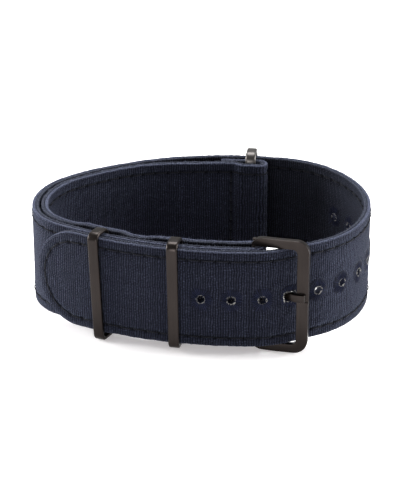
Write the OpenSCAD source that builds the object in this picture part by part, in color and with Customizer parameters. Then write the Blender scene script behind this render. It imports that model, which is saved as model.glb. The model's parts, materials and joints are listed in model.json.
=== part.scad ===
// Slip-through canvas strap for a wrist tracker, buckled into a loop and standing on its edge.
// Millimetres, +Z up. X runs along the buckled front, -Y is the outer face of the front.

/* [Strap] */
// Width of the strap
strap_width = 20; // [18:0.5:22]
// Thickness of one canvas ply; the strap is two plies
ply_thick = 0.7; // [0.6:0.05:0.75]
// Clear space between the tail and the strap under it
tail_gap = 0.3; // [0.25:0.05:0.4]
// How far the tail runs past the buckle bar, measured along the front
tail_reach = 44.4; // [43:0.2:47]
// Length of the rounded part of the tip
tip_round = 9.5; // [8:0.5:10]

/* [Seams] */
// Distance from the strap's edge to the edge stitching
seam_inset = 1.9; // [1.6:0.1:2.4]
// Thickness of the sewing thread that stands proud of the cloth
thread_proud = 0.1; // [0.06:0.02:0.12]
// Visible width of the sewing thread
thread_width = 0.35; // [0.25:0.05:0.5]

/* [Eyelets] */
// Centre to centre distance of the eyelets
eyelet_pitch = 5.85; // [5.6:0.05:6.2]
// Radius of the free hole
eyelet_hole_r = 0.8; // [0.7:0.05:0.85]
// Width of the embroidered oval
eyelet_width = 4.5; // [4:0.1:5]
// Height of the embroidered oval
eyelet_height = 5.3; // [5.1:0.1:6]

/* [Buckle] */
// Radius of the buckle bar
bar_r = 0.65; // [0.6:0.05:0.7]
// Thickness of the frame
frame_thick = 1.2; // [1:0.1:1.4]
// Width of the bar that the tang rests on
frame_bar_width = 2.2; // [2:0.1:2.4]
// Height of the frame's upper and lower rails
rail_height = 1.7; // [1.6:0.1:1.9]
// Distance from the buckle bar to the far end of the frame
frame_reach = 10.7; // [10.5:0.1:11]
// Thickness of the tang, seen from above
tang_thick = 1; // [0.9:0.05:1.1]
// Height of the tang
tang_height = 1.5; // [1.3:0.1:1.6]

/* [Keepers] */
// Width of the strip that the keepers are bent from
keeper_width = 2.2; // [2:0.1:2.4]
// Thickness of the strip
keeper_thick = 0.8; // [0.7:0.05:0.85]
// Clear space between a keeper and the cloth in it
keeper_gap = 0.25; // [0.2:0.05:0.3]
// Lean of the keeper near the buckle
near_lean = 1; // [0:0.2:2]
// Lean of the keeper near the tip
tip_lean = 2.6; // [0:0.2:3]
// Thickness of the strip of the flap ring
ring_thick = 0.85; // [0.7:0.05:0.9]
// Width of the strip of the flap ring
ring_width = 2.2; // [2:0.1:2.4]

/* [Hidden] */

canvas = [0.13, 0.15, 0.22];
lining = [0.11, 0.13, 0.19];
thread = [0.04, 0.045, 0.06];
gunmetal = [0.24, 0.22, 0.2];
$fn = 48;
eps = 0.02;
step = 1.6;
eyelet_count = 12;
tang_eyelet = 4;
eyelet_rim = 0.3;
punch_depth = 2 * ply_thick + 0.4;

strap_thick = 2 * ply_thick;
half = strap_thick / 2;
lift = rail_height + 0.15;
strap_top = lift + strap_width;
mid_z = lift + strap_width / 2;
tail_shift = strap_thick + tail_gap;
pocket_gap = keeper_thick + 2 * keeper_gap + 0.05;
bar_clear = 0.2;
fold_r = bar_r + bar_clear + half;

// The loop starts over the buckle bar and runs along the front to the left, round the back and
// home on the right, as tangent arcs of [radius, degrees].
loop_start = [10.3, -23.9];
start_heading = 180.4;
loop_arcs = [[65, 36.5], [12, 42.5], [18, 62], [50, 54.6], [19, 38.4], [27, 64], [19.5, 36]];
join_at = 5;
climb_pull = 8.5;
near_keeper_at = 15.3;
tip_keeper_at = 30.7;
ring_at = 110.2;
flap_fold_at = 112;
flap_end_at = 103.6;

// A place on a path is [point, heading, distance along]; outward() is the left of the heading.
function outward(h) = [-sin(h), cos(h)];
function forward(h) = [cos(h), sin(h)];
function turned(p, r, a) = [p[0] + r * (outward(p[1] - a) - outward(p[1])), p[1] - a,
                            p[2] + abs(r * a) * PI / 180];
function shifted(p, d) = [p[0] + d * outward(p[1]), p[1], p[2]];
function arc_start(i) = i == 0 ? [loop_start, start_heading, 0]
    : turned(arc_start(i - 1), loop_arcs[i - 1][0], loop_arcs[i - 1][1]);
starts = [for (i = [0:len(loop_arcs)]) arc_start(i)];
loop_length = starts[len(loop_arcs)][2];
function arc_index(s) = len([for (p = starts) if (p[2] <= s) 1]) - 1;
function loop_at(s) = let (i = min(arc_index(s), len(loop_arcs) - 1), r = loop_arcs[i][0])
    turned(starts[i], r, (s - starts[i][2]) / r * 180 / PI);
function loop_run(a, b) = let (n = ceil(abs(b - a) / step)) [for (i = [0:n]) loop_at(a + (b - a) * i / n)];

// The strap leaves the loop on the right and climbs over the folded end as a cubic curve.
climb_from = starts[len(loop_arcs)];
climb_to = shifted(loop_at(join_at), tail_shift);
climb_a = climb_from[0] + climb_pull * forward(climb_from[1]);
climb_b = climb_to[0] - climb_pull * forward(climb_to[1]);
function climb_point(t) = pow(1 - t, 3) * climb_from[0] + 3 * pow(1 - t, 2) * t * climb_a
    + 3 * (1 - t) * t * t * climb_b + pow(t, 3) * climb_to[0];
function climb_at(t) = let (d = climb_point(min(t + 0.01, 1)) - climb_point(max(t - 0.01, 0)))
    [climb_point(t), atan2(d[1], d[0]), 0];
climb = [for (i = [1:12]) climb_at(i / 13)];
tail = [for (p = loop_run(join_at, tail_reach)) shifted(p, tail_shift)];
route = concat(loop_run(0, loop_length), climb, tail);
main = [for (i = 0, s = 0; i < len(route);
             s = s + (i < len(route) - 1 ? norm(route[i + 1][0] - route[i][0]) : 0), i = i + 1)
        [route[i][0], route[i][1], s]];
main_length = main[len(main) - 1][2];
function blend_heading(a, b, t) = let (d = (b - a + 540) % 360 - 180) a + t * d;
function main_at(s) = let (i = min(len([for (p = main) if (p[2] <= s) 1]), len(main) - 1) - 1,
                           a = main[i], b = main[i + 1], t = (s - a[2]) / (b[2] - a[2]))
    [a[0] + t * (b[0] - a[0]), blend_heading(a[1], b[1], t), s];
function main_part(a, b) = concat([main_at(a)], [for (p = main) if (p[2] > a + eps && p[2] < b - eps) p],
                                  [main_at(b)]);

// The flap lies inside the loop. Its gap to the strap opens at the bar, at each keeper, and at the back,
// where its end turns outwards round the ring and comes back between the flap and the strap.
function ease(a, b, x) = let (t = max(0, min(1, (x - a) / (b - a)))) t * t * (3 - 2 * t);
rest_gap = 0.45;
back_gap = 0.9;
lap_gap = 0.1;
ring_seat = 2 * keeper_gap - lap_gap + ring_thick;
ring_fold_r = (strap_thick + ring_seat) / 2;
function flap_gap(s) = rest_gap + (2 * (fold_r - half) - pocket_gap) * (1 - ease(0, 4.5, s))
    + (pocket_gap - rest_gap) * (1 - ease(19.4, 22.4, s)
        + ease(24.4, 28, s) * (1 - ease(35.4, 39, s)))
    + (back_gap + strap_thick + lap_gap - rest_gap) * ease(82, 102.5, s)
    + (ring_seat - lap_gap) * ease(106.2, 108.9, s);
function flap_place(p) = shifted(p, -strap_thick - flap_gap(p[2]));
bar_centre = loop_start - fold_r * outward(start_heading);
bar_fold = [for (a = [0:15:165]) [bar_centre - fold_r * outward(start_heading + 180 + a),
                                  start_heading + 180 + a, 0]];
flap_run = [for (p = loop_run(0, flap_fold_at)) flap_place(p)];
fold_start = flap_run[len(flap_run) - 1];
ring_fold = [for (a = [15:15:165]) turned(fold_start, -ring_fold_r, -a)];
flap_return = [for (p = loop_run(flap_fold_at, flap_end_at))
               [p[0] - (strap_thick + back_gap) * outward(p[1]), p[1] + 180, 0]];
flap = concat(bar_fold, flap_run, ring_fold, flap_return);

// Buckle frame, in a plane through the bar that leans away from the strap
frame_angle = -14;
frame_bow_r = 40;
frame_end_inset = 0.9;
frame_height = lift + strap_width + 0.15 + rail_height;
tang_fit = 0.05;
tang_eye_r = 1.2;
notch_depth = 0.4;
notch_floor = notch_depth - frame_thick / 2 - 0.06;
// Seen from above, the tang rises off the bar, bows inwards under the tail, drops out through
// its eyelet and levels off in the notch.
function ahead(p, d) = [p[0] + d * forward(p[1]), p[1], p[2]];
tang_rise = 37;
tang_bow_r = 2.3;
tang_bow = 72;
tang_level_r = 3.2;
tang_level = 36;
tang_root = ahead([[0, 0], tang_rise, 0], tang_eye_r * 0.8);
tang_bow_start = ahead(tang_root, 1.5);
tang_drop_start = turned(tang_bow_start, tang_bow_r, tang_bow);
tang_end_y = notch_floor - tang_thick / 2 - 0.03;
drop_angle = tang_bow - tang_rise;
tang_drop = (tang_drop_start[0][1] - tang_end_y
             - tang_level_r * (cos(tang_level - drop_angle) - cos(drop_angle))) / sin(drop_angle);
tang_level_start = ahead(tang_drop_start, tang_drop);
tang_path = concat([tang_root], [for (a = [0:12:tang_bow]) turned(tang_bow_start, tang_bow_r, a)],
                   [for (a = [0:12:tang_level]) turned(tang_level_start, -tang_level_r, -a)],
                   [ahead(turned(tang_level_start, -tang_level_r, -tang_level), 0.6)]);
tang_tip = tang_path[len(tang_path) - 1][0];
tang_hole_at = loop_length + 5.75;
tang_slot_length = 2.6;
tang_pull = 0.45;

function eyelet_place(i) = main_at(tang_hole_at - tang_pull + (tang_eyelet - i) * eyelet_pitch);
function left_side(path, d) = [for (p = path) p[0] + d * outward(p[1])];
function backwards(list) = [for (i = [len(list) - 1:-1:0]) list[i]];

// A layer that follows a path between two distances to its left
module layer(path, from, to, bottom, height)
    translate([0, 0, bottom]) linear_extrude(height)
        polygon(concat(left_side(path, from), backwards(left_side(path, to))));

// Children drawn in the strap's own plane: X along the strap, Y up, extruded through it
module across(place, depth)
    translate([place[0][0], place[0][1], mid_z]) rotate([0, 0, place[1]])
        rotate([90, 0, 0]) translate([0, 0, -depth / 2]) linear_extrude(depth) children();

module oval(w, h) {
    for (side = [-1, 1]) translate([0, side * (h - w) / 2]) circle(d = w);
    square([w, h - w], center = true);
}

// Outline of the rounded tip, drawn with the tip towards +X
module tip_outline(inset) {
    w = strap_width - 2 * inset;
    reach = tip_round - inset;
    polygon(concat([[-60, -w / 2]],
        [for (a = [-90:10:90]) [reach * cos(a), w / 2 * sin(a)]], [[-60, w / 2]]));
}

// Everything that the rounded tip keeps of the strap's end
module tip_cut(inset)
    across(main_at(main_length - tip_round), 14) tip_outline(inset);

// The tang pulls the hole of its eyelet into a slot, off its middle
module tang_slot(rim) across(main_at(tang_hole_at), punch_depth)
    square([tang_slot_length + 2 * rim, tang_height + 0.4 + 2 * rim], center = true);
module free_hole(place, rim) across(place, punch_depth) circle(r = eyelet_hole_r + rim);
module hole(i, rim) {
    if (i == tang_eyelet) tang_slot(rim);
    else free_hole(eyelet_place(i), rim);
}

// The slit in the folded end that lets the tang out
module bar_slit() {
    reach = fold_r + half + 0.06;
    translate([bar_centre[0], bar_centre[1], mid_z - tang_height / 2 - 0.25]) {
        cylinder(r = reach, h = tang_height + 0.5);
        translate([-tang_eye_r - 0.3, -reach, 0]) cube([tang_eye_r + 0.3, 2 * reach, tang_height + 0.5]);
    }
}

module main_ply(from, to) difference() {
    union() {
        layer(main_part(0, main_length - 16), from, to, lift, strap_width);
        intersection() {
            layer(main_part(main_length - 16, main_length), from, to, lift, strap_width);
            tip_cut(0);
        }
    }
    bar_slit();
    for (i = [1:eyelet_count]) hole(i, eyelet_rim);
}

module main_face_ply() color(canvas) main_ply(0, half);
module main_lining_ply() color(lining) main_ply(-half, 0);

module main_stitching(z) for (side = [-1, 1])
    layer(main_part(0.6, main_length - tip_round), side * half, side * (half + thread_proud),
          z - thread_width / 2, thread_width);
module main_stitching_upper() color(thread) main_stitching(strap_top - seam_inset);
module main_stitching_lower() color(thread) main_stitching(lift + seam_inset);
module tip_stitching() color(thread) for (side = [-1, 1]) intersection() {
    layer(main_part(main_length - tip_round, main_length), side * half,
          side * (half + thread_proud), lift, strap_width);
    difference() {
        tip_cut(seam_inset - thread_width / 2);
        tip_cut(seam_inset + thread_width / 2);
    }
}

module flap_ply(from, to) difference() {
    layer(flap, from, to, lift, strap_width);
    bar_slit();
}
module flap_face_ply() color(canvas) flap_ply(-half, 0);
module flap_lining_ply() color(lining) flap_ply(0, half);

module flap_stitching(z) {
    skin = concat([for (p = flap_run) if (p[2] > 1.5) p], ring_fold);
    layer(skin, -half, -half - thread_proud, z - thread_width / 2, thread_width);
}
module flap_stitching_upper() color(thread) flap_stitching(strap_top - seam_inset);
module flap_stitching_lower() color(thread) flap_stitching(lift + seam_inset);

// A column of thread across the strap that fills the gap between two layers
module seam_column(place, from, to) {
    height = strap_width - 2 * seam_inset - 1;
    layer([ahead(place, -0.2), ahead(place, 0.2)], from, to, mid_z - height / 2, height);
}
module strap_seam(s) seam_column(loop_at(s), -half - flap_gap(s) + eps, -half - eps);
module buckle_seam() color(thread) strap_seam(9.2);
module keeper_seam_middle() color(thread) strap_seam(23);
module keeper_seam_left() color(thread) strap_seam(39);
module ring_loop_seam() color(thread)
    seam_column(loop_at(105.8), -half - back_gap - strap_thick - lap_gap + eps,
                -half - back_gap - strap_thick - eps);

module eyelet(i) color(thread) {
    place = eyelet_place(i);
    near = main_part(place[2] - 4, place[2] + 4);
    difference() {
        intersection() {
            layer(near, -half - thread_proud, half + thread_proud, lift, strap_width);
            across(place, punch_depth) oval(eyelet_width, eyelet_height);
        }
        difference() {
            layer(near, -half, half, lift, strap_width);
            hole(i, eyelet_rim);
        }
        hole(i, 0);
    }
}

// Puts children in the buckle's own axes: the bar at the origin, X towards the far end, Y inwards
module in_buckle() translate([bar_centre[0], bar_centre[1], 0]) rotate([0, 0, frame_angle]) children();

module rounded(x0, x1, z0, z1, r) {
    for (x = [x0 + r, x1 - r], z = [z0 + r, z1 - r]) translate([x, z]) circle(r = r);
    translate([x0 + r, z0]) square([x1 - x0 - 2 * r, z1 - z0]);
    translate([x0, z0 + r]) square([x1 - x0, z1 - z0 - 2 * r]);
}

module frame_face() difference() {
    rounded(-frame_end_inset, frame_reach, 0, frame_height, 2.6);
    rounded(-frame_reach, frame_reach - frame_bar_width, rail_height,
            frame_height - rail_height, 1.1);
}

module buckle_frame() color(gunmetal) in_buckle() difference() {
    intersection() {
        rotate([90, 0, 0]) translate([0, 0, -6]) linear_extrude(12) frame_face();
        translate([frame_reach / 2 - 0.5, frame_bow_r - 0.35, 0]) difference() {
            cylinder(r = frame_bow_r + frame_thick / 2, h = frame_height, $fn = 200);
            translate([0, 0, -1])
                cylinder(r = frame_bow_r - frame_thick / 2, h = frame_height + 2, $fn = 200);
        }
        translate([-2, -8, 0]) cube([frame_reach + 4, 14, frame_height]);
    }
    translate([0, 0, rail_height / 2 - 0.5]) cylinder(r = bar_r * 0.7, h = frame_height - rail_height + 1);
    translate([frame_reach - frame_bar_width - 1, notch_floor - 1, mid_z - tang_height / 2 - 0.2])
        cube([frame_bar_width + 2, 1, tang_height + 0.4]);
}

module buckle_bar() color(gunmetal) in_buckle() {
    translate([0, 0, rail_height / 2 - 0.5])
        cylinder(r = bar_r * 0.7, h = frame_height - rail_height + 1);
    translate([0, 0, rail_height + eps])
        cylinder(r = bar_r, h = frame_height - 2 * rail_height - 2 * eps);
}

module buckle_tang() color(gunmetal) in_buckle() difference() {
    union() {
        translate([0, 0, mid_z - tang_height / 2]) cylinder(r = tang_eye_r, h = tang_height);
        layer(tang_path, -tang_thick / 2, tang_thick / 2, mid_z - tang_height / 2, tang_height);
        translate([tang_tip[0], tang_tip[1], mid_z - tang_height / 2])
            cylinder(d = tang_thick, h = tang_height);
    }
    translate([0, 0, mid_z - 3]) cylinder(r = bar_r + tang_fit, h = 6);
}

// A strip bent into a closed band round the strap, leaning in its own plane. Its foot stands that
// high over the ground, and headroom is left over the strap.
module band_ring(place, inner, outer, width, thick, lean, corner, stand, headroom) {
    foot = stand + mid_z - (mid_z - width / 2 * sin(lean)) / cos(lean);
    ceiling = strap_top + headroom + width / 2 * tan(lean);
    translate([place[0][0], place[0][1], mid_z]) rotate([0, 0, place[1]]) rotate([0, lean, 0])
        translate([-width / 2, 0, -mid_z]) rotate([90, 0, 90]) linear_extrude(width) difference() {
            rounded(inner - thick, outer + thick, foot, ceiling + thick, corner);
            rounded(inner, outer, foot + thick, ceiling, 0.5);
        }
}

module keeper(at, lean, stand, headroom)
    band_ring(loop_at(at), -half - keeper_gap, half + tail_shift + keeper_gap, keeper_width, keeper_thick,
              lean, 1.5, stand, headroom);
module keeper_near_buckle() color(gunmetal) keeper(near_keeper_at, near_lean, 0.8, 0.5);
module keeper_near_tip() color(gunmetal) keeper(tip_keeper_at, tip_lean, 0, 0.12);
module flap_ring() color(gunmetal)
    band_ring(loop_at(ring_at), -half - back_gap - strap_thick - keeper_gap + 0.05, half + 0.3,
              ring_width, ring_thick, 0, 2, 0, 1);

main_face_ply();
main_lining_ply();
main_stitching_upper();
main_stitching_lower();
tip_stitching();
flap_face_ply();
flap_lining_ply();
flap_stitching_upper();
flap_stitching_lower();
ring_loop_seam();
buckle_seam();
keeper_seam_middle();
keeper_seam_left();
buckle_frame();
buckle_bar();
buckle_tang();
keeper_near_buckle();
keeper_near_tip();
flap_ring();
for (i = [1:12]) eyelet(i);
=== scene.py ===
"""A slip-through canvas strap for a wrist tracker, buckled into a loop and standing on its edge.

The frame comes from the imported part, in metres. Lengths in this file are in millimetres, and new_piece
turns them into metres. A place on the strap is (s, off, z): s along a line seen from above, off to the
line's left, which is away from the wrist on the main strap, and z up.
"""
import json

import bmesh
import bpy
import numpy as np
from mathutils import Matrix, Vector


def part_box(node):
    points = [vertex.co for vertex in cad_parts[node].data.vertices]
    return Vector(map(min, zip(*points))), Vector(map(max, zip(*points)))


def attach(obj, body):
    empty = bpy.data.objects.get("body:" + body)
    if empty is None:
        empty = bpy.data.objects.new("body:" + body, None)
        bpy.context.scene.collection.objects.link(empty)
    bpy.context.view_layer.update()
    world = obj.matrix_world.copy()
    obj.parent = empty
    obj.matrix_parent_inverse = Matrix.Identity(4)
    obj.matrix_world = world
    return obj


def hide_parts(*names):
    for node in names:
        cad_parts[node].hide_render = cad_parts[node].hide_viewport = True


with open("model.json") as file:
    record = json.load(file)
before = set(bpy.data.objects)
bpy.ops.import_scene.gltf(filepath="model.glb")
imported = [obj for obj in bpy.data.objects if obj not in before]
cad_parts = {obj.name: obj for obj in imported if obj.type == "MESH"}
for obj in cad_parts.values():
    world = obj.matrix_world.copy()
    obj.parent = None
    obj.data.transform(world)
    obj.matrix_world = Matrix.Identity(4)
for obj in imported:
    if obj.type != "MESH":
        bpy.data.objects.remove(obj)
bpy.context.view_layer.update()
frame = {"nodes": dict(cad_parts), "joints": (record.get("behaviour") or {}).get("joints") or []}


# ---- The main strap ---------------------------------------------------------------------------------
# One long strip of navy canvas, folded into two plies and sewn along both edges. It starts at the buckle
# bar, runs once round the wrist and comes over its own start as the tail, which ends in a rounded tip.
MM = 0.001
PLY = 0.7
HALF = PLY
STRAP_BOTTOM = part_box("main_face_ply")[0].z / MM
STRAP_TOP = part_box("main_face_ply")[1].z / MM
STRAP_MID = (STRAP_BOTTOM + STRAP_TOP) / 2
HALF_WIDTH = (STRAP_TOP - STRAP_BOTTOM) / 2
JOINT_PLACE = {j["name"]: np.array(j.get("pos_m", [0, 0, 0])) / MM for j in frame["joints"]}
BAR = JOINT_PLACE["buckle_swing"][:2]
BAR_FOLD_RADIUS = 1.55
LOOP_HEADING = 180.4
LOOP_ARCS = [(65, 36.5), (12, 42.5), (18, 62), (50, 54.6), (19, 38.4), (27, 64), (19.5, 36)]
TAIL_SHIFT = 1.7
TAIL_JOINS, TAIL_ENDS = 5, 44.4
CLIMB_PULL = 8.5
TIP_REACH = 9.5
SEAM_INSET = 1.9
EDGE_ROUND = 0.26


def left_of(heading):
    """The unit vector to the left of a heading in degrees: (minus sine, cosine)."""
    turn = np.radians(heading)
    return np.stack([-np.sin(turn), np.cos(turn)], -1)


def arc(start, heading, radius, sweep, spacing=0.12):
    """Points on an arc that turns right: the start, plus the radius times the change of the left normal."""
    turn = np.linspace(0, sweep, 3 + int(abs(radius * np.radians(sweep)) / spacing))
    return start + radius * (left_of(heading - turn) - left_of(heading))


def line_through(points):
    """A line seen from above: its points, the distance along it to each, its left normals and headings.
    The heading is the direction of the central difference, unwrapped."""
    run = np.gradient(points, axis=0)
    run /= np.linalg.norm(run, axis=1, keepdims=True)
    steps = np.linalg.norm(np.diff(points, axis=0), axis=1)
    return {"points": points, "distance": np.concatenate([[0], np.cumsum(steps)]),
            "left": np.column_stack([-run[:, 1], run[:, 0]]),
            "heading": np.degrees(np.unwrap(np.arctan2(run[:, 1], run[:, 0])))}


def beside(line, s, off, z):
    """The place (s, off, z) by a line: the line's point at s plus off times its left normal there."""
    s, off, z = np.broadcast_arrays(s, off, z)
    plan = [np.interp(s, line["distance"], line["points"][:, k])
            + off * np.interp(s, line["distance"], line["left"][:, k]) for k in (0, 1)]
    return np.stack([*plan, z], -1)


def run_of(line, start, end, off=0.0, spacing=0.15):
    """Points seen from above along part of a line, off to its left, which may change along it."""
    s = np.linspace(start, end, 2 + int(abs(end - start) / spacing))
    return beside(line, s, off(s) if callable(off) else off, 0.0)[:, :2]


def chain_of_arcs(start, heading, arcs):
    """Tangent arcs, each starting where the last one ends."""
    parts = [np.array([start])]
    for radius, sweep in arcs:
        parts.append(arc(parts[-1][-1], heading, radius, sweep)[1:])
        heading -= sweep
    return np.concatenate(parts)


loop = line_through(chain_of_arcs(BAR + BAR_FOLD_RADIUS * left_of(LOOP_HEADING), LOOP_HEADING, LOOP_ARCS))
LOOP_LENGTH = loop["distance"][-1]


def climb_onto(line, join_at, shift, pull, steps=120):
    """A cubic curve from a line's end to the place beside it at join_at, with pulls along the headings."""
    start, end = line["points"][-1], beside(line, join_at, shift, 0.0)[:2]
    leave = np.array([np.cos(a) for a in np.radians([line["heading"][-1], line["heading"][-1] - 90])])
    arrive_at = np.interp(join_at, line["distance"], line["heading"])
    arrive = np.array([np.cos(a) for a in np.radians([arrive_at, arrive_at - 90])])
    t = np.linspace(0, 1, steps)[:, None]
    return ((1 - t) ** 3 * start + 3 * (1 - t) ** 2 * t * (start + pull * leave)
            + 3 * (1 - t) * t ** 2 * (end - pull * arrive) + t ** 3 * end)


main = line_through(np.concatenate([
    loop["points"],
    climb_onto(loop, TAIL_JOINS, TAIL_SHIFT, CLIMB_PULL)[1:],
    run_of(loop, TAIL_JOINS, TAIL_ENDS, TAIL_SHIFT)[1:]]))
MAIN_LENGTH = main["distance"][-1]
TIP_START = MAIN_LENGTH - TIP_REACH


def smooth_noise(x, seed, size):
    """Smooth random numbers from -1 to 1 that change over the distance size: values at even steps, eased."""
    values = np.random.default_rng(seed).uniform(-1, 1, 4096)
    cell = np.floor(x / size)
    t = x / size - cell
    t = t * t * (3 - 2 * t)
    index = cell.astype(int) % 4096
    return values[index] * (1 - t) + values[(index + 1) % 4096] * t


def grid_faces(rows, columns, pieces=1):
    """The quads of one or more grids of points, numbered row by row."""
    corner = (np.arange(rows - 1)[:, None] * columns + np.arange(columns - 1)).ravel()
    quads = np.stack([corner, corner + 1, corner + columns + 1, corner + columns], -1)
    return (quads + (np.arange(pieces) * rows * columns)[:, None, None]).reshape(-1, 4)


def new_piece(name, points, faces, uv=None, marks=None, smooth=True):
    """A closed mesh from points in mm. Points that meet are welded and the faces turned outwards.
    uv holds a place in mm for each point, and marks holds named values for each point."""
    mesh = bpy.data.meshes.new(name)
    mesh.from_pydata((points.reshape(-1, 3) * MM).tolist(), [], faces)
    if uv is not None:
        corner_point = np.empty(len(mesh.loops), np.int32)
        mesh.loops.foreach_get("vertex_index", corner_point)
        mesh.uv_layers.new(name="cloth").data.foreach_set("uv", uv.reshape(-1, 2)[corner_point].ravel())
    for mark, values in (marks or {}).items():
        layer = mesh.attributes.new(mark, "FLOAT", "POINT")
        layer.data.foreach_set("value", values.ravel().astype(np.float32))
    work = bmesh.new()
    work.from_mesh(mesh)
    bmesh.ops.remove_doubles(work, verts=work.verts, dist=0.002 * MM)
    bmesh.ops.recalc_face_normals(work, faces=work.faces)
    work.to_mesh(mesh)
    work.free()
    mesh.polygons.foreach_set("use_smooth", [smooth] * len(mesh.polygons))
    piece = bpy.data.objects.new(name, mesh)
    bpy.context.scene.collection.objects.link(piece)
    return piece


def place_piece(piece, body, slot, material, *nodes):
    """Gives a piece its body, its finish and the nodes that it stands for."""
    piece.data.materials.clear()
    piece.data.materials.append(material)
    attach(piece, body)
    if nodes:
        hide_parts(*nodes)
    return piece


def seam_path(start, end, tip_reach=0.0, spacing=0.1):
    """The line of an edge seam as (s, z): along the lower edge, round the tip if there is one, and back
    along the upper edge. Without a tip it is the two edges' lines, one after the other."""
    row = HALF_WIDTH - SEAM_INSET
    s = np.arange(start, end, spacing)
    lower, upper = (np.column_stack([s, np.full(len(s), STRAP_MID + side * row)]) for side in (-1, 1))
    if not tip_reach:
        return [lower, upper]
    turn = np.radians(np.linspace(-90, 90, 200))
    nose = np.column_stack([end + (tip_reach - SEAM_INSET) * np.cos(turn), STRAP_MID + row * np.sin(turn)])
    return [np.concatenate([lower, nose, upper[::-1]])]


def needle_holes(path, pitch):
    """Points at equal distances along a path of (s, z), as near to the pitch as fits."""
    length = np.concatenate([[0], np.cumsum(np.linalg.norm(np.diff(path, axis=0), axis=1))])
    at = np.linspace(0.4, length[-1] - 0.4, 1 + round(length[-1] / pitch))
    return np.column_stack([np.interp(at, length, path[:, k]) for k in (0, 1)])


STITCH_PITCH = 2.75
NEEDLE_REACH = 0.4
main_holes = [needle_holes(p, STITCH_PITCH) for p in seam_path(0.6, TIP_START, TIP_REACH)]


def sewn_relief(s, z, holes, tip_start, tip_reach):
    """How far the cloth is drawn in, and marks from 0 to 1 at the needle holes and the seam. The seam
    draws a shallow groove at its distance from the edge, each hole a small funnel, and the cloth waves
    a little. Both are bell curves of the distance."""
    beyond = np.clip((s - tip_start) / tip_reach, 0, None) if tip_reach else 0 * s
    from_edge = HALF_WIDTH * (1 - np.hypot(beyond, (z - STRAP_MID) / HALF_WIDTH))
    groove = np.exp(-((from_edge - SEAM_INSET) / 0.5) ** 2)
    places = np.column_stack([s.ravel(), z.ravel()])
    punched = np.concatenate(holes)
    nearest = np.concatenate([np.min(np.hypot(*(part[:, None] - punched[None]).transpose(2, 0, 1)), axis=1)
                              for part in np.array_split(places, 40)])
    hole = np.exp(-(nearest / NEEDLE_REACH) ** 2).reshape(s.shape)
    wave = 0.03 * smooth_noise(s, 3, 9) + 0.02 * smooth_noise(s + 7 * z, 5, 4)
    # The hole and groove marks also become painted shade in the canvas colour.
    return 0.07 * groove + 0.16 * hole - wave, hole, groove


def ply_section(low, high, seen):
    """The ply's outline across the strap: up its left face, over the upper edge, down its right face and
    under the lower edge. Each point has its offset, how far it lies inside the outline, its share of the
    height from -1 to 1, and the distance round the outline."""
    seam = (1 - SEAM_INSET / HALF_WIDTH) / (1 - EDGE_ROUND / HALF_WIDTH)
    close = seam + np.linspace(-0.06, 0.06, 7)
    fine = np.sort(np.concatenate([np.linspace(-1, 1, 45), close, -close]))
    coarse = np.linspace(-1, 1, 9)
    left, right = (fine, coarse) if seen > 0 else (coarse, fine)
    turns = [np.radians(np.linspace(a, a + 90, 5)[1:]) for a in (0, 90, 180, 270)]
    centre = [high - EDGE_ROUND, low + EDGE_ROUND, low + EDGE_ROUND, high - EDGE_ROUND]
    off, inset, share = [np.full(len(left), high)], [np.full(len(left), EDGE_ROUND)], [left]
    for k, turn in enumerate(turns):
        if k == 2:
            off.append(np.full(len(right) - 1, low))
            inset.append(np.full(len(right) - 1, EDGE_ROUND))
            share.append(-right[1:])
        side = 1 if k < 2 else -1
        if k in (1, 3):
            off.append([centre[k]])
            inset.append([0.0])
            share.append([side])
        off.append(centre[k] + EDGE_ROUND * np.cos(turn))
        inset.append(EDGE_ROUND * (1 - side * np.sin(turn)))
        share.append(np.full(4, side))
    off, inset, share = (np.concatenate(v) for v in (off, inset, share))
    height = share * (HALF_WIDTH - inset)
    around = np.concatenate([[0], np.cumsum(np.hypot(np.diff(off), np.diff(height)))])
    return off, inset, share, around


def ply(name, line, start, end, low, high, seen, holes, tip_reach=0.0, seed=1):
    """One ply of canvas, a rounded flat section carried along a line. At a rounded tip the section's
    height follows a quarter ellipse, and each part of the edge ends as far inside it as its rounding."""
    off, inset, share, around = ply_section(low, high, seen)
    straight = np.arange(start, end, 0.32)
    turn = np.radians(np.linspace(0, 90, 34)[1:]) if tip_reach else np.empty(0)
    along = np.concatenate([straight, [end], np.full(len(turn), end)])
    turn = np.concatenate([np.zeros(len(straight) + 1), turn])
    s = along[:, None] + (tip_reach - inset) * np.sin(turn)[:, None]
    z = STRAP_MID + share * (HALF_WIDTH - inset) * np.cos(turn)[:, None]
    drawn_in, hole, groove = sewn_relief(s, z, holes, end, tip_reach)
    shown = (off == (high if seen > 0 else low)) & (np.abs(share) < 0.999)
    edge = 1 - inset / EDGE_ROUND
    off = off - seen * drawn_in * shown
    ragged = 0.05 * smooth_noise(s + 31 * seed, seed, 0.5) + 0.05 * smooth_noise(s, seed + 9, 2.3)
    z = z + ragged * edge * np.sign(share) * np.cos(turn)[:, None]
    points = beside(line, s, off, z)
    flat = STRAP_MID + share * (HALF_WIDTH - inset)
    uv = np.stack([s, around + (z - flat) * seen * shown], -1)
    rows, columns = s.shape
    faces = grid_faces(rows, columns).tolist() + [list(range(columns - 1))]
    if not tip_reach:
        faces.append([(rows - 1) * columns + k for k in range(columns - 1)])
    # The hole and seam marks carry painted shade into the canvas colour.
    marks = {"hole": hole * shown, "seam": groove * shown, "edge": edge * np.ones(s.shape)}
    return new_piece(name, points, faces, uv, marks)


def node_group(name, inputs, outputs):
    """An empty shader node group with named sockets, and a function that adds nodes to it."""
    group = bpy.data.node_groups.new(name, "ShaderNodeTree")
    for label, kind, value in inputs:
        socket = group.interface.new_socket(label, in_out="INPUT", socket_type="NodeSocket" + kind)
        socket.default_value = value
    for label, kind in outputs:
        group.interface.new_socket(label, in_out="OUTPUT", socket_type="NodeSocket" + kind)
    return group, group.nodes.new("NodeGroupInput"), group.nodes.new("NodeGroupOutput")


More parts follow.
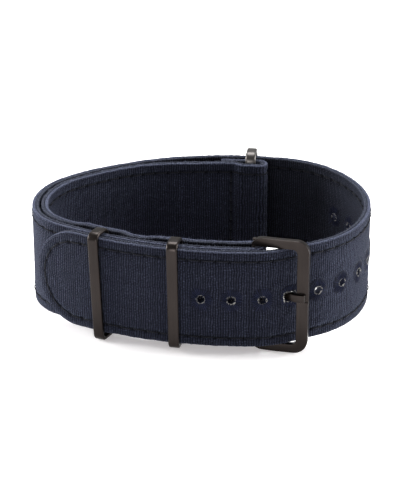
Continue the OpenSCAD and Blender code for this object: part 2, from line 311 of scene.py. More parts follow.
def add(tree, kind, settings=None, **inputs):
    """Adds a node: settings are its own properties, and inputs are values or other nodes' outputs, with
    an underscore for a space and a_0 for the first unnamed input."""
    node = tree.nodes.new("ShaderNode" + kind)
    for key, value in (settings or {}).items():
        setattr(node, key, value)
    for key, value in inputs.items():
        socket = node.inputs[int(key[2:])] if key.startswith("a_") else node.inputs[key.replace("_", " ")]
        if isinstance(value, bpy.types.NodeSocket):
            tree.links.new(value, socket)
        else:
            socket.default_value = value
    return node


def maths(tree, operation, *values):
    """The result of one Math node."""
    return add(tree, "Math", {"operation": operation},
               **{f"a_{k}": v for k, v in enumerate(values)}).outputs[0]


def mixed(tree, share, first, second, kind="RGBA", blend="MIX"):
    """The result of a Mix node on two colours or two numbers."""
    node = tree.nodes.new("ShaderNodeMix")
    node.data_type = kind
    if kind == "RGBA":
        node.blend_type = blend
    names = {"RGBA": (0, 6, 7, 2), "FLOAT": (0, 2, 3, 0)}[kind]
    for index, value in zip(names[:3], (share, first, second)):
        if isinstance(value, bpy.types.NodeSocket):
            tree.links.new(value, node.inputs[index])
        else:
            node.inputs[index].default_value = value
    return node.outputs[names[3]]


def plain_weave():
    """Plain weave from a place in mm. With sx and sy the sines of the place in threads, the upright
    threads stand |sx| + sx sy high and the level ones |sy| - sx sy, and the higher of the two shows."""
    group, given, result = node_group(
        "plain_weave",
        [("Place", "Vector", (0, 0, 0)), ("Upright Pitch", "Float", 0.5), ("Level Pitch", "Float", 0.3)],
        [("Height", "Float"), ("Tone", "Float"), ("Fleck", "Float")])
    stir = add(group, "TexNoise", Vector=given.outputs["Place"], Scale=0.55, Detail=2.0)
    place = add(group, "SeparateXYZ", a_0=given.outputs["Place"]).outputs
    shift = maths(group, "MULTIPLY", maths(group, "SUBTRACT", stir.outputs["Fac"], 0.5), 0.6)
    x = maths(group, "DIVIDE", maths(group, "ADD", place[0], shift), given.outputs["Upright Pitch"])
    y = maths(group, "DIVIDE", maths(group, "ADD", place[1], shift), given.outputs["Level Pitch"])
    sx = maths(group, "SINE", maths(group, "MULTIPLY", x, np.pi))
    sy = maths(group, "SINE", maths(group, "MULTIPLY", y, np.pi))
    both = maths(group, "MULTIPLY", sx, sy)
    upright = maths(group, "ADD", maths(group, "ABSOLUTE", sx), both)
    level = maths(group, "MULTIPLY", maths(group, "SUBTRACT", maths(group, "ABSOLUTE", sy), both), 0.85)
    height = maths(group, "MULTIPLY", maths(group, "MAXIMUM", upright, level), 0.5)
    over = maths(group, "GREATER_THAN", upright, level)
    column = add(group, "TexWhiteNoise", {"noise_dimensions": "1D"}, W=maths(group, "FLOOR", x))
    row = add(group, "TexWhiteNoise", {"noise_dimensions": "1D"}, W=maths(group, "FLOOR", y))
    thread_tone = mixed(group, over, row.outputs["Value"], column.outputs["Value"], "FLOAT")
    cell = add(group, "CombineXYZ", a_0=maths(group, "FLOOR", x), a_1=maths(group, "FLOOR", y))
    knot = add(group, "TexWhiteNoise", Vector=cell.outputs[0])
    fleck = maths(group, "MULTIPLY", maths(group, "GREATER_THAN", knot.outputs["Value"], 0.9), height)
    for label, value in (("Height", height), ("Tone", thread_tone), ("Fleck", fleck)):
        group.links.new(value, result.inputs[label])
    return group


WEAVE = plain_weave()


def new_material(name, **constants):
    """A material with a Principled BSDF whose named sockets are set to constants."""
    material = bpy.data.materials.new(name)
    material.use_nodes = True
    tree = material.node_tree
    shader = tree.nodes["Principled BSDF"]
    for key, value in constants.items():
        shader.inputs[key.replace("_", " ")].default_value = value
    return material, tree, shader


def canvas_material(name, deep, high, pale, sheen):
    """Matt navy canvas: the weave's height and its threads' tones move between a deep and a high colour,
    the deep one a painted shade in the weave's low places. Single crossings are paler, painted shade
    darkens the needle holes and the seam's groove, and the raw edges are lighter and rougher."""
    material, tree, shader = new_material(name, Roughness=0.95, Specular_IOR_Level=0.06, Sheen_Weight=sheen,
                                          Sheen_Roughness=0.3, Sheen_Tint=(0.62, 0.70, 1.0, 1.0))
    place = add(tree, "UVMap", {"uv_map": "cloth"}).outputs["UV"]
    weave = add(tree, "Group", {"node_tree": WEAVE}, Place=place, Upright_Pitch=0.49, Level_Pitch=0.29)
    hole = add(tree, "Attribute", {"attribute_name": "hole"}).outputs["Fac"]
    seam = add(tree, "Attribute", {"attribute_name": "seam"}).outputs["Fac"]
    edge = add(tree, "Attribute", {"attribute_name": "edge"}).outputs["Fac"]
    worn = add(tree, "TexNoise", Vector=place, Scale=0.12, Detail=3.0).outputs["Fac"]
    ends = add(tree, "TexNoise", Vector=place, Scale=3.2, Detail=3.0).outputs["Fac"]
    # Painted shade: the weave's low places fade towards the near-black deep colour.
    rise = maths(tree, "POWER", weave.outputs["Height"], 2.2)
    thread_tone = maths(tree, "ADD", 0.7, maths(tree, "MULTIPLY", weave.outputs["Tone"], 0.36))
    wear = maths(tree, "ADD", 0.75, maths(tree, "MULTIPLY", worn, 0.5))
    share = maths(tree, "MULTIPLY", maths(tree, "MULTIPLY", rise, thread_tone), wear)
    colour = mixed(tree, share, (*deep, 1), (*high, 1))
    colour = mixed(tree, maths(tree, "MULTIPLY", weave.outputs["Fleck"], 0.13), colour, (*pale, 1))
    tufted = maths(tree, "POWER", maths(tree, "MULTIPLY", ends, 1.6), 2.5)
    frayed = maths(tree, "MULTIPLY", maths(tree, "MULTIPLY", edge, tufted), 0.85)
    colour = mixed(tree, frayed, colour, (*pale, 1))
    # Painted shade in the seam's groove and in each needle hole.
    colour = mixed(tree, maths(tree, "MULTIPLY", seam, 0.3), colour, (*deep, 1))
    colour = mixed(tree, maths(tree, "MULTIPLY", hole, 0.97), colour, (0.0003, 0.0003, 0.0005, 1))
    tree.links.new(colour, shader.inputs["Base Color"])
    tufts = maths(tree, "MULTIPLY", maths(tree, "MULTIPLY", ends, edge), 1.2)
    uneven = maths(tree, "ADD", weave.outputs["Height"], tufts)
    bump = add(tree, "Bump", Strength=0.9, Distance=0.0002, Height=uneven)
    tree.links.new(bump.outputs["Normal"], shader.inputs["Normal"])
    return material


CANVAS = canvas_material("navy_canvas", (0.0006, 0.0007, 0.0016), (0.0305, 0.0345, 0.059),
                         (0.09, 0.10, 0.15), 0.19)
LINING = canvas_material("navy_lining", (0.0006, 0.0007, 0.0014), (0.0225, 0.025, 0.0385),
                         (0.05, 0.055, 0.075), 0.09)

main_face = ply("main_strap_face", main, 0, TIP_START, 0, HALF, 1, main_holes, TIP_REACH, 1)
main_lining = ply("main_strap_lining", main, 0, TIP_START, -HALF, 0, -1, main_holes, TIP_REACH, 2)


# ---- The flap ---------------------------------------------------------------------------------------
# The short second strap inside the loop. The same strip goes on round the bar, lies against the wrist
# side of the main strap, and its end turns outwards round the third ring and is sewn down on itself.
STRAP_THICK = 2 * PLY
REST_GAP, POCKET_GAP, BACK_GAP, LAP_GAP = 0.45, 1.35, 0.9, 0.1
RING_THICK = 0.85
RING_SEAT = 0.5 - LAP_GAP + RING_THICK
FLAP_FOLDS, FLAP_ENDS = 112, 103.6


def ease(start, end, x):
    """0 before start and 1 after end, with a smooth cubic step between them."""
    t = np.clip((x - start) / (end - start), 0, 1)
    return t * t * (3 - 2 * t)


def flap_gap(s):
    """The clear space between the strap and the flap: wider at the bar, in the two keepers' pockets and
    at the back, where the flap's own end comes between them."""
    return (REST_GAP + (2 * (BAR_FOLD_RADIUS - HALF) - POCKET_GAP) * (1 - ease(0, 4.5, s))
            + (POCKET_GAP - REST_GAP) * (1 - ease(19.4, 22.4, s)
                                         + ease(24.4, 28, s) * (1 - ease(35.4, 39, s)))
            + (BACK_GAP + STRAP_THICK + LAP_GAP - REST_GAP) * ease(82, 102.5, s)
            + (RING_SEAT - LAP_GAP) * ease(106.2, 108.9, s))


flap_inside = run_of(loop, 0, FLAP_FOLDS, lambda s: -STRAP_THICK - flap_gap(s))
fold_heading = np.interp(FLAP_FOLDS, loop["distance"], loop["heading"])
flap = line_through(np.concatenate([
    arc(loop["points"][0], LOOP_HEADING + 180, -BAR_FOLD_RADIUS, -180)[:-1],
    flap_inside[:-1],
    arc(flap_inside[-1], fold_heading, -(STRAP_THICK + RING_SEAT) / 2, -180)[:-1],
    run_of(loop, FLAP_FOLDS, FLAP_ENDS, -STRAP_THICK - BACK_GAP)]))
FLAP_LENGTH = flap["distance"][-1]
FLAP_SEWN = FLAP_LENGTH - (FLAP_FOLDS - FLAP_ENDS) - 1
flap_edge_holes = [needle_holes(p, STITCH_PITCH) for p in seam_path(6, FLAP_SEWN)]
RING_SEAM_AT = 105.8
inside_distance = line_through(flap_inside)["distance"]
ring_seam_s = (np.pi * BAR_FOLD_RADIUS
               + np.interp(RING_SEAM_AT, np.linspace(0, FLAP_FOLDS, len(flap_inside)), inside_distance))
RING_SEAM_HOLES = 8
ring_seam_holes = np.column_stack([np.full(RING_SEAM_HOLES, ring_seam_s),
                                   np.linspace(STRAP_BOTTOM + 2.4, STRAP_TOP - 2.2, RING_SEAM_HOLES)])
flap_holes = flap_edge_holes + [ring_seam_holes]
flap_face = ply("flap_face", flap, 0, FLAP_LENGTH, -HALF, 0, -1, flap_holes, 0.0, 3)
flap_lining = ply("flap_lining", flap, 0, FLAP_LENGTH, 0, HALF, 1, flap_holes, 0.0, 4)
place_piece(flap_face, "strap", "canvas", CANVAS, "flap_face_ply")
place_piece(flap_lining, "strap", "lining", LINING, "flap_lining_ply")


# ---- The edge stitching -----------------------------------------------------------------------------
# Near-black polyester thread in running lockstitch, about 2.75 mm a stitch, 1.9 mm in from the edges and
# round the tip. Each stitch lies on the cloth and dives into the same needle hole as the next one.
THREAD_RADIUS = 0.16


def tube_faces(count, rings, sides):
    """The quads and the two end caps of several tubes, each with its rings of points one after another."""
    ring = np.arange(rings - 1)[:, None] * sides
    side = np.arange(sides)
    quads = np.stack([ring + side, ring + (side + 1) % sides, ring + sides + (side + 1) % sides,
                      ring + sides + side], -1).reshape(-1, 4)
    first = np.arange(count) * rings * sides
    caps = [(first[:, None] + side[::-1]), (first[:, None] + (rings - 1) * sides + side)]
    return ((quads + first[:, None, None]).reshape(-1, 4).tolist()
            + caps[0].tolist() + caps[1].tolist())


def stitches(name, line, rows, face, out, seed, radius=THREAD_RADIUS, lie=0.1):
    """Rows of stitches between needle holes. A stitch is a thin tube whose height over the cloth follows
    the fourth root of a sine, so it rises steeply, lies flat and dives again."""
    start = np.concatenate([h[:-1] for h in rows])
    run = np.concatenate([h[1:] - h[:-1] for h in rows])
    chance = np.random.default_rng(seed)
    t = np.linspace(0, 1, 9)
    reach = 0.05 + 0.9 * t
    across = np.column_stack([-run[:, 1], run[:, 0]]) / np.linalg.norm(run, axis=1, keepdims=True)
    lean = chance.normal(0, 0.035, (len(run), 1)) * np.sin(np.pi * t)
    turn = np.radians(np.arange(0, 360, 60))
    wide = radius * (0.8 + 0.2 * np.sin(np.pi * t))[None, :, None] * np.cos(turn)
    middle = start[:, None] + run[:, None] * reach[None, :, None] + across[:, None] * lean[..., None]
    place = middle[:, :, None] + across[:, None, None] * wide[..., None]
    height = -0.22 + (0.22 + lie * (1 + chance.normal(0, 0.12, (len(run), 1)))) * np.sin(np.pi * t) ** 0.25
    tall = 0.75 * radius * np.sin(turn)
    points = beside(line, place[..., 0], face + out * (height[..., None] + tall), place[..., 1])
    along = np.linspace(0, np.linalg.norm(run[0]), 9)[None, :, None] + np.zeros(wide.shape)
    around = np.broadcast_to(turn * radius, points.shape[:3])
    uv = np.stack([np.broadcast_to(along, points.shape[:3]), around], -1)
    return new_piece(name, points, tube_faces(len(run), 9, 6), uv)


def thread_material(name, dark, light, roughness):
    """Twisted thread: slanting strands across the thread's own length, with painted shade between them
    and a painted highlight on top.
    """
    material, tree, shader = new_material(
        name, Roughness=roughness, Specular_IOR_Level=0.1, Sheen_Weight=0.03, Sheen_Roughness=0.4,
        Sheen_Tint=(0.75, 0.8, 1.0, 1.0))
    place = add(tree, "SeparateXYZ", a_0=add(tree, "UVMap", {"uv_map": "cloth"}).outputs["UV"]).outputs
    slant = maths(tree, "ADD", maths(tree, "MULTIPLY", place[0], 14.0),
                  maths(tree, "MULTIPLY", place[1], 6.0))
    strand = maths(tree, "MULTIPLY", maths(tree, "ADD", maths(tree, "SINE", slant), 1.0), 0.5)
    dust = add(tree, "TexNoise", Vector=add(tree, "TexCoord").outputs["Object"], Scale=900.0, Detail=2.0)
    share = maths(tree, "MULTIPLY", strand, dust.outputs["Fac"])
    # Painted shade between the strands and a painted highlight on their tops.
    tree.links.new(mixed(tree, share, (*dark, 1), (*light, 1)), shader.inputs["Base Color"])
    bump = add(tree, "Bump", Strength=0.5, Distance=0.00004, Height=strand)
    tree.links.new(bump.outputs["Normal"], shader.inputs["Normal"])
    return material


THREAD = thread_material("black_thread", (0.0012, 0.0013, 0.0024), (0.010, 0.0115, 0.019), 0.7)

upper_lower = ("main_stitching_upper", "main_stitching_lower", "tip_stitching")
place_piece(stitches("main_edge_stitches_outside", main, main_holes, HALF, 1, 11), "strap", "thread", THREAD,
            *upper_lower)
place_piece(stitches("main_edge_stitches_inside", main, main_holes, -HALF, -1, 12), "strap", "thread",
            THREAD)
place_piece(stitches("flap_edge_stitches", flap, flap_edge_holes, -HALF, -1, 13), "strap", "thread", THREAD,
            "flap_stitching_upper", "flap_stitching_lower")


# ---- The cross seams --------------------------------------------------------------------------------
# Short upright columns of stitches that close the fold round the bar, fix the flap on both sides of the
# keeper near the tip, and close the pocket of the third ring. All but the last are out of sight.
place_piece(stitches("ring_pocket_stitches", flap, [ring_seam_holes], -HALF, -1, 14, 0.19, 0.12), "strap",
            "thread", THREAD, "ring_loop_seam")


def hidden_seam(name, node, s):
    """A column of stitches in the gap between the strap and the flap."""
    seam = [np.column_stack([np.full(7, s), np.linspace(STRAP_BOTTOM + 2.6, STRAP_TOP - 2.6, 7)])]
    place_piece(stitches(name, loop, seam, -HALF - flap_gap(s) / 2, -1, 15), "strap", "thread", THREAD, node)


hidden_seam("bar_fold_stitches", "buckle_seam", 9.2)
hidden_seam("middle_keeper_stitches", "keeper_seam_middle", 23)
hidden_seam("left_keeper_stitches", "keeper_seam_left", 39)


# ---- The eyelets ------------------------------------------------------------------------------------
# Twelve holes for the tang, punched through both plies and bound with satin stitch: dark blue embroidery
# thread laid radially from an oval outline over the rim and into the hole. The tang stretches the fourth.
EYELET_COUNT, TANG_EYELET = 12, 4
EYELET_PITCH = 5.85
BAR_TO_TANG_HOLE = 5.75
TANG_HOLE_AT = LOOP_LENGTH + BAR_TO_TANG_HOLE
TANG_PULL = 0.45
EYELET_WIDE, EYELET_TALL = 2.3, 2.65
HOLE_RADIUS = 0.78
SATIN_THREADS = 32


def eyelet_at(i):
    """The distance along the main strap to the middle of eyelet i."""
    return TANG_HOLE_AT - TANG_PULL + (TANG_EYELET - i) * EYELET_PITCH


def hole_at(i):
    """The distance along the main strap to the middle of its hole, which the tang has pulled aside."""
    return TANG_HOLE_AT if i == TANG_EYELET else eyelet_at(i)


def hole_size(i):
    """Half the width and half the height of the free hole."""
    return (1.3, 0.95) if i == TANG_EYELET else (HOLE_RADIUS, HOLE_RADIUS)


def oval(turn, wide, tall, power=2.0):
    """The distance from the middle to a rounded outline: a circle or ellipse for a power of 2, and
    nearer to a rectangle for a higher one."""
    return (np.abs(np.cos(turn) / wide) ** power + np.abs(np.sin(turn) / tall) ** power) ** (-1 / power)


def eyelet_punch():
    """Plugs for the holes of all eyelets, a little wider than the free holes, to be cut from a ply."""
    turn = np.radians(np.arange(0, 360, 15))
    plugs = []
    for i in range(1, EYELET_COUNT + 1):
        reach = oval(turn, *hole_size(i), 4 if i == TANG_EYELET else 2) + 0.28
        s, z = hole_at(i) + reach * np.cos(turn), STRAP_MID + reach * np.sin(turn)
        plugs.append(np.stack([beside(main, s, off, z) for off in (-0.86, 0.86)]))
    return new_piece("eyelet_punch", np.stack(plugs), tube_faces(EYELET_COUNT, 2, len(turn)), smooth=False)


punch = eyelet_punch()
for strap_ply in (main_face, main_lining):
    cut = strap_ply.modifiers.new("punched", "BOOLEAN")
    cut.object, cut.operation, cut.solver = punch, "DIFFERENCE", "EXACT"
    bpy.context.view_layer.update()
    punched = bpy.data.meshes.new_from_object(strap_ply.evaluated_get(bpy.context.evaluated_depsgraph_get()))
    strap_ply.modifiers.clear()
    strap_ply.data = punched
bpy.data.objects.remove(punch)
place_piece(main_face, "strap", "canvas", CANVAS, "main_face_ply")
place_piece(main_lining, "strap", "lining", LINING, "main_lining_ply")


def embroidered_eyelet(i):
    """A closed ring of satin stitch. Round the hole, each thread is a ridge, the absolute sine of half
    the thread count times the angle. Across, the ring is highest near the hole and sinks into the cloth
    at its uneven outer edge, on both faces of the strap."""
    chance = np.random.default_rng(40 + i)
    steps = SATIN_THREADS * 6
    turn = np.linspace(0, 2 * np.pi, steps + 1)
    thread = (np.arange(steps + 1) // 6) % SATIN_THREADS
    ridge = np.abs(np.sin(SATIN_THREADS * turn / 2))[:, None]
    uneven = 1 + chance.normal(0, 0.06, SATIN_THREADS)[thread][:, None]
    loose = chance.normal(0, 0.02, SATIN_THREADS)[thread][:, None]
    inner = oval(turn, *hole_size(i), 4 if i == TANG_EYELET else 2)[:, None]
    outer = oval(turn, EYELET_WIDE, EYELET_TALL, 2.3)[:, None] * uneven
    share = np.array([0, 0.03, 0.1, 0.2, 0.35, 0.5, 0.65, 0.8, 0.92, 1.0])
    round_share = np.concatenate([share, share[::-1], [0]])
    rim, proud = (0.03, 0.08) if i == TANG_EYELET else (0.13, 0.2)
    lift = 0.03 + rim * np.exp(-share / 0.5) - 0.16 * share ** 8 - 0.16 * np.exp(-share / 0.02)
    fullness = np.sin(np.pi * np.clip(share * 1.1 + 0.1, 0, 1)) ** 0.5
    reach = inner + (outer - inner) * round_share
    height = HALF + lift + (proud * ridge - 0.45 * proud + loose) * fullness
    off = np.concatenate([height, -height[:, ::-1], height[:, :1]], axis=1)
    slip = (0.06 * np.sin(3 * turn + i))[:, None] * round_share
    middle = hole_at(i) + (eyelet_at(i) - hole_at(i)) * round_share
    s = middle + reach * np.cos(turn[:, None] + slip)
    z = STRAP_MID + reach * np.sin(turn[:, None] + slip)
    points = beside(main, s, off, z)
    tone = np.broadcast_to(chance.uniform(0, 1, SATIN_THREADS)[thread][:, None], s.shape)
    # The ridge mark is painted light: a highlight on each thread's ridge, shade between threads and at the
    # outer edge.
    marks = {"tone": tone, "ridge": ridge ** 1.6 * (1 - round_share ** 5)}
    rows, columns = s.shape
    piece = new_piece(f"satin_eyelet_{i}", points, grid_faces(rows, columns).tolist(), None, marks)
    return place_piece(piece, "strap", "thread", EMBROIDERY, f"eyelet_{i}")


def embroidery_material():
    """Dark blue embroidery thread: each thread has its own tone and fine fuzz, with a painted highlight
    on its ridge and painted shade between the threads and at the ring's outer edge.
    """
    material, tree, shader = new_material("embroidery_thread", Roughness=0.6, Specular_IOR_Level=0.06,
                                          Sheen_Weight=0.04, Sheen_Tint=(0.6, 0.7, 1.0, 1.0))
    tone = add(tree, "Attribute", {"attribute_name": "tone"}).outputs["Fac"]
    ridge = add(tree, "Attribute", {"attribute_name": "ridge"}).outputs["Fac"]
    fuzz = add(tree, "TexNoise", Vector=add(tree, "TexCoord").outputs["Object"], Scale=2500.0, Detail=3.0)
    lightness = maths(tree, "ADD", maths(tree, "MULTIPLY", tone, 0.5),
                      maths(tree, "MULTIPLY", fuzz.outputs["Fac"], 0.9))
    # Painted highlight on the ridges, painted shade between them.
    share = maths(tree, "MULTIPLY", ridge, lightness)
    colour = mixed(tree, share, (0.00005, 0.00005, 0.0002, 1), (0.0115, 0.0145, 0.037, 1))
    tree.links.new(colour, shader.inputs["Base Color"])
    bump = add(tree, "Bump", Strength=0.5, Distance=0.00005, Height=fuzz.outputs["Fac"])
    tree.links.new(bump.outputs["Normal"], shader.inputs["Normal"])
    return material


EMBROIDERY = embroidery_material()
for number in range(1, EYELET_COUNT + 1):
    embroidered_eyelet(number)


# ---- The frayed ends --------------------------------------------------------------------------------
# Short cut ends of the canvas yarn: pale specks round each punched hole, and fine lint along the raw
# edges of the plies.


def hairs(root, tip, bend, radius):
    """Fine hairs as thin three-sided tubes. A hair runs from its root to its tip in the cloth's own
    place (s, off, z), and bows by bend times a half sine."""
    t = np.linspace(0, 1, 4)[None, :, None]
    middle = root[:, None] + (tip - root)[:, None] * t + bend[:, None] * np.sin(np.pi * t)
    turn = np.radians([0, 120, 240])
    thin = radius[:, None, None] * (1 - 0.6 * t)
    return np.stack([middle[:, :, 0, None] + thin * np.cos(turn),
                     middle[:, :, 1, None] + thin * np.sin(turn),
                     middle[:, :, 2, None] + 0.7 * thin * np.sin(turn + 1)], -1)


def fuzz_piece(name, line, strands, material):
    """A piece made of many hairs, each in the strap's own place (s, off, z)."""
    points = beside(line, strands[..., 0], strands[..., 1], strands[..., 2])
    piece = new_piece(name, points, tube_faces(len(points), 4, 3), smooth=False)
    return place_piece(piece, "strap", "canvas", material)


def lint_material(name, dark, light):
    """Undyed or faded fibre, with its tone changing from hair to hair."""
    material, tree, shader = new_material(name, Roughness=0.8, Specular_IOR_Level=0.3)
    speck = add(tree, "TexNoise", Vector=add(tree, "TexCoord").outputs["Object"], Scale=700.0, Detail=1.0)
    tree.links.new(mixed(tree, speck.outputs["Fac"], (*dark, 1), (*light, 1)), shader.inputs["Base Color"])
    return material


FRAY = lint_material("cut_yarn", (0.03, 0.03, 0.032), (0.5, 0.49, 0.47))
LINT = lint_material("edge_lint", (0.02, 0.023, 0.038), (0.15, 0.17, 0.24))


def frayed_holes(per_hole=70):
    """Cut yarn ends that stand round each hole and lean into it and outwards."""
    chance = np.random.default_rng(71)
    strands = []
    for i in range(1, EYELET_COUNT + 1):
        turn = chance.uniform(0, 2 * np.pi, per_hole)
        reach = oval(turn, *hole_size(i), 4 if i == TANG_EYELET else 2)
        into_hole = -0.02 if i == TANG_EYELET else 0.12
        root_at, tip_at = reach + 0.06, reach - chance.uniform(-0.24, into_hole, per_hole)
        skew = turn + chance.normal(0, 0.3, per_hole)
        side = np.where(chance.uniform(0, 1, per_hole) < 0.7, 1, -1)
        root = np.column_stack([hole_at(i) + root_at * np.cos(turn), side * (HALF + 0.1),
                                STRAP_MID + root_at * np.sin(turn)])
        tip = np.column_stack([hole_at(i) + tip_at * np.cos(skew),
                               side * (HALF + chance.uniform(0.12, 0.3, per_hole)),
                               STRAP_MID + tip_at * np.sin(skew)])
        strands.append(hairs(root, tip, chance.normal(0, 0.06, (per_hole, 3)),
                             chance.uniform(0.03, 0.07, per_hole)))
    return np.concatenate(strands)


def edge_lint(start, end, count, low, high, seed):
    """Lint on the upper and lower edges of a strap, most of it lying along the edge."""
    chance = np.random.default_rng(seed)
    s = chance.uniform(start, end, count)
    side = np.where(chance.uniform(0, 1, count) < 0.7, 1, -1)
    root = np.column_stack([s, chance.uniform(low, high, count), STRAP_MID + side * (HALF_WIDTH - 0.03)])
    tip = root + np.column_stack([chance.normal(0, 0.3, count), chance.normal(0, 0.15, count),
                                  side * chance.uniform(0.0, 0.22, count)])
    return hairs(root, tip, chance.normal(0, 0.05, (count, 3)), chance.uniform(0.008, 0.022, count))


fuzz_piece("eyelet_frays", main, frayed_holes(), FRAY)
fuzz_piece("main_edge_lint", main, edge_lint(1, TIP_START, 6000, -HALF, HALF, 81), LINT)
fuzz_piece("flap_edge_lint", flap, edge_lint(5, FLAP_LENGTH - 1, 3000, -HALF, HALF, 82), LINT)


# ---- The buckle -------------------------------------------------------------------------------------
# A stamped steel frame, curved to the wrist, with a round bar riveted through its rails and a tang bent
# round the bar. All are coated a satin dark gunmetal. The blanks' edges are tumbled round.


def gunmetal_material(name, dark, light, roughness):
    """Satin gunmetal coating: a slow change of tone, a fine grain in the gloss and faint drawn lines."""
    material, tree, shader = new_material(name, Metallic=0.85, Specular_IOR_Level=0.5, Coat_Roughness=0.3)
    place = add(tree, "TexCoord").outputs["Object"]
    cloud = add(tree, "TexNoise", Vector=place, Scale=160.0, Detail=3.0).outputs["Fac"]
    grain = add(tree, "TexNoise", Vector=place, Scale=5200.0, Detail=2.0).outputs["Fac"]
    drawn = add(tree, "Mapping", a_0=place, Scale=(2600.0, 2600.0, 130.0)).outputs[0]
    lines = add(tree, "TexNoise", Vector=drawn, Scale=1.0, Detail=2.0).outputs["Fac"]
    share = maths(tree, "ADD", maths(tree, "MULTIPLY", cloud, 0.6), maths(tree, "MULTIPLY", lines, 0.4))
    tree.links.new(mixed(tree, share, (*dark, 1), (*light, 1)), shader.inputs["Base Color"])
    gloss = maths(tree, "ADD", roughness - 0.08, maths(tree, "MULTIPLY", grain, 0.16))
    tree.links.new(gloss, shader.inputs["Roughness"])
    bump = add(tree, "Bump", Strength=0.12, Distance=0.00003, Height=maths(tree, "ADD", grain, lines))
    tree.links.new(bump.outputs["Normal"], shader.inputs["Normal"])
    return material


GUNMETAL = gunmetal_material("satin_gunmetal", (0.0105, 0.0078, 0.0070), (0.022, 0.0172, 0.0155), 0.31)


def tumbled(name, node, body, round_by):
    """A copy of a metal blank with its sharp edges rounded over."""
    piece = bpy.data.objects.new(name, frame["nodes"][node].data.copy())
    bpy.context.scene.collection.objects.link(piece)
    work = bmesh.new()
    work.from_mesh(piece.data)
    bmesh.ops.remove_doubles(work, verts=work.verts, dist=0.001 * MM)
    bmesh.ops.dissolve_limit(work, angle_limit=np.radians(1.0), verts=work.verts, edges=work.edges)
    work.to_mesh(piece.data)
    work.free()
    rounding = piece.modifiers.new("tumbled", "BEVEL")
    rounding.width, rounding.segments = round_by * MM, 3
    rounding.limit_method, rounding.angle_limit = "ANGLE", np.radians(35)
    bpy.context.view_layer.update()
    shaped = bpy.data.meshes.new_from_object(piece.evaluated_get(bpy.context.evaluated_depsgraph_get()))
    piece.modifiers.clear()
    piece.data = shaped
    shaped.shade_smooth()
    shaped.set_sharp_from_angle(angle=np.radians(28))
    return place_piece(piece, body, "gunmetal", GUNMETAL, node)


tumbled("frame", "buckle_frame", "buckle", 0.3)
tumbled("bar", "buckle_bar", "buckle", 0.12)
tumbled("tang", "buckle_tang", "tang", 0.36)


# ---- The keepers and the third ring -----------------------------------------------------------------
# Flat steel strip bent into closed bands round the strap, with the joint out of sight at the back, and
# coated like the buckle. The keepers lean a little. The ring's bends are rounder, and its finish is a
# paler copy of the gunmetal: painted light for the light that its top catches.


def band(name, node, body, at, low, high, width, thick, corner, lean, crown, soften, stand, headroom,
         material=GUNMETAL):
    """A flat strip carried round a rounded rectangle that encloses the strap, from low to high on the
    strap's left. The strip's section is a rectangle whose edges are rounded by soften, and the top bows up
    by crown times a sine. Its foot stands that high over the table, with headroom over the strap."""
    foot = stand + STRAP_MID - (STRAP_MID - width / 2 * np.sin(lean)) / np.cos(lean)
    ceiling = STRAP_TOP + headroom + width / 2 * np.tan(lean)
    bend = corner - thick / 2
    left, right = low - thick / 2, high + thick / 2
    bottom, top = foot + thick / 2, ceiling + thick / 2
    spots = []
    for (y, z), first in (((right - bend, top - bend), 0), ((left + bend, top - bend), 90),
                          ((left + bend, bottom + bend), 180), ((right - bend, bottom + bend), 270)):
        turn = np.radians(np.linspace(first, first + 90, 13))
        out = np.column_stack([np.cos(turn), np.sin(turn)])
        spots.append(np.column_stack([[y, z] + bend * out, out]))
    way = np.concatenate(spots + [spots[0][:1]])
    stride = np.hypot(*np.diff(way[:, :2], axis=0).T)
    between = [np.linspace(way[k], way[k + 1], 9)[:-1] if stride[k] > 1 else way[k:k + 1]
               for k in range(len(way) - 1)]
    way = np.concatenate(between + [way[:1]])
    normal = way[:, 2:] / np.linalg.norm(way[:, 2:], axis=1, keepdims=True)
    high_up = np.clip((way[:, 1] - top + bend) / bend, 0, 1)
    way[:, 1] += crown * np.sin(np.pi * np.clip((way[:, 0] - left) / (right - left), 0, 1)) * high_up
    spread, deep = width / 2 - soften, thick / 2 - soften
    ring = [np.column_stack([x + soften * np.cos(a), y + soften * np.sin(a)])
            for x, y, a in ((spread, deep, np.radians(np.linspace(0, 90, 5))),
                            (-spread, deep, np.radians(np.linspace(90, 180, 5))),
                            (-spread, -deep, np.radians(np.linspace(180, 270, 5))),
                            (spread, -deep, np.radians(np.linspace(270, 360, 5))))]
    section = np.concatenate(ring + [ring[0][:1]])
    x = np.broadcast_to(section[:, 0], (len(way), len(section)))
    y = way[:, 0, None] + normal[:, 0, None] * section[:, 1]
    z = way[:, 1, None] + normal[:, 1, None] * section[:, 1]
    rise = z - STRAP_MID
    s = at + x * np.cos(lean) + rise * np.sin(lean)
    z = STRAP_MID - x * np.sin(lean) + rise * np.cos(lean)
    heading = np.interp(at, loop["distance"], loop["heading"])
    forward = -left_of(heading + 90)
    centre = beside(loop, at, 0.0, 0.0)[:2]
    plan = centre + (s - at)[..., None] * forward + y[..., None] * left_of(heading)
    points = np.concatenate([plan, z[..., None]], -1)
    piece = new_piece(name, points, grid_faces(*x.shape).tolist())
    return place_piece(piece, body, "gunmetal", material, node)


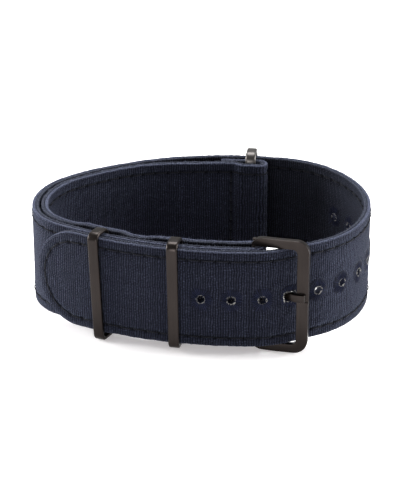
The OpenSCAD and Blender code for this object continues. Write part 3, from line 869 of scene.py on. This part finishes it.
# A paler copy of the gunmetal for the third ring: painted light standing in for the light on its top.
PAINTED_LIGHT_GUNMETAL = gunmetal_material("painted_light_gunmetal", (0.038, 0.034, 0.032), (0.082, 0.076, 0.073), 0.38)
STRIP_WIDTH = 2.2
KEEPER_THICK, KEEPER_GAP = 0.8, 0.25
keeper_window = (-HALF - KEEPER_GAP, HALF + TAIL_SHIFT + KEEPER_GAP)
band("keeper_by_the_buckle", "keeper_near_buckle", "buckle_side_keeper", 15.3, *keeper_window, STRIP_WIDTH,
     KEEPER_THICK, 1.5, np.radians(1), 0.12, 0.34, 0.8, 0.5)
band("keeper_by_the_tip", "keeper_near_tip", "tip_side_keeper", 30.7, *keeper_window, STRIP_WIDTH,
     KEEPER_THICK, 1.5, np.radians(2.6), 0.12, 0.34, 0, 0.12)
band("third_ring", "flap_ring", "ring", 110.2, -HALF - BACK_GAP - STRAP_THICK - KEEPER_GAP + 0.05,
     HALF + 0.3, STRIP_WIDTH, RING_THICK, 2.0, 0.0, 0.0, 0.42, 0, 1, PAINTED_LIGHT_GUNMETAL)


# ---- The studio -------------------------------------------------------------------------------------
# A seamless pale table under soft boxes on both sides and above, and a long lens that looks down on the
# strap by 24 degrees.
AIM = np.array([-0.3, -2.8, 12.05]) * MM
LOOK_DOWN = np.radians(24.03)
DISTANCE = 400 * MM
LENS_PX, FRAME_PX, SENSOR = 1969, 500, 36

camera = bpy.data.cameras.new("camera")
camera.sensor_width = camera.sensor_height = SENSOR
camera.lens = LENS_PX / FRAME_PX * SENSOR
camera.clip_start, camera.clip_end = 0.01, 20
viewer = bpy.data.objects.new("camera", camera)
viewer.location = AIM + DISTANCE * np.array([0, -np.cos(LOOK_DOWN), np.sin(LOOK_DOWN)])
viewer.rotation_euler = (Vector(AIM) - viewer.location).to_track_quat("-Z", "Y").to_euler()
bpy.context.scene.collection.objects.link(viewer)
bpy.context.scene.camera = viewer


def pale_table():
    """A wide flat sheet just under the strap."""
    reach = 3000.0
    corners = np.array([[-reach, -reach, 0], [reach, -reach, 0], [reach, reach, 0], [-reach, reach, 0]])
    table = new_piece("table", corners, [[0, 1, 2, 3]], smooth=False)
    material, tree, shader = new_material("white_table", Roughness=0.7, Specular_IOR_Level=0.2,
                                          Emission_Color=(1.0, 0.94, 0.95, 1.0), Emission_Strength=0.3)
    mottle = add(tree, "TexNoise", Vector=add(tree, "TexCoord").outputs["Object"], Scale=40.0, Detail=2.0)
    tree.links.new(mixed(tree, mottle.outputs["Fac"], (0.93, 0.93, 0.93, 1), (0.96, 0.96, 0.96, 1)),
                   shader.inputs["Base Color"])
    table.data.materials.append(material)


pale_table()


def soft_box(name, place, size, power, aim=(0, 0, 0.012)):
    """A square area light that faces the strap."""
    light = bpy.data.lights.new(name, "AREA")
    light.shape, light.size, light.energy = "SQUARE", size, power
    lamp = bpy.data.objects.new(name, light)
    lamp.location = place
    lamp.rotation_euler = (Vector(aim) - Vector(place)).to_track_quat("-Z", "Y").to_euler()
    bpy.context.scene.collection.objects.link(lamp)


soft_box("left_box", (-0.6, 0.15, 0.16), 0.3, 8)
soft_box("right_box", (0.6, 0.05, 0.16), 0.3, 7)
soft_box("top_box", (0.0, 0.35, 0.7), 0.5, 10)
soft_box("front_box", (-0.25, -0.75, 0.14), 0.26, 3)

world = bpy.data.worlds.new("studio")
world.use_nodes = True
world.node_tree.nodes["Background"].inputs["Color"].default_value = (1, 1, 1, 1)
world.node_tree.nodes["Background"].inputs["Strength"].default_value = 0.35
bpy.context.scene.world = world
bpy.context.scene.view_settings.view_transform = "Standard"
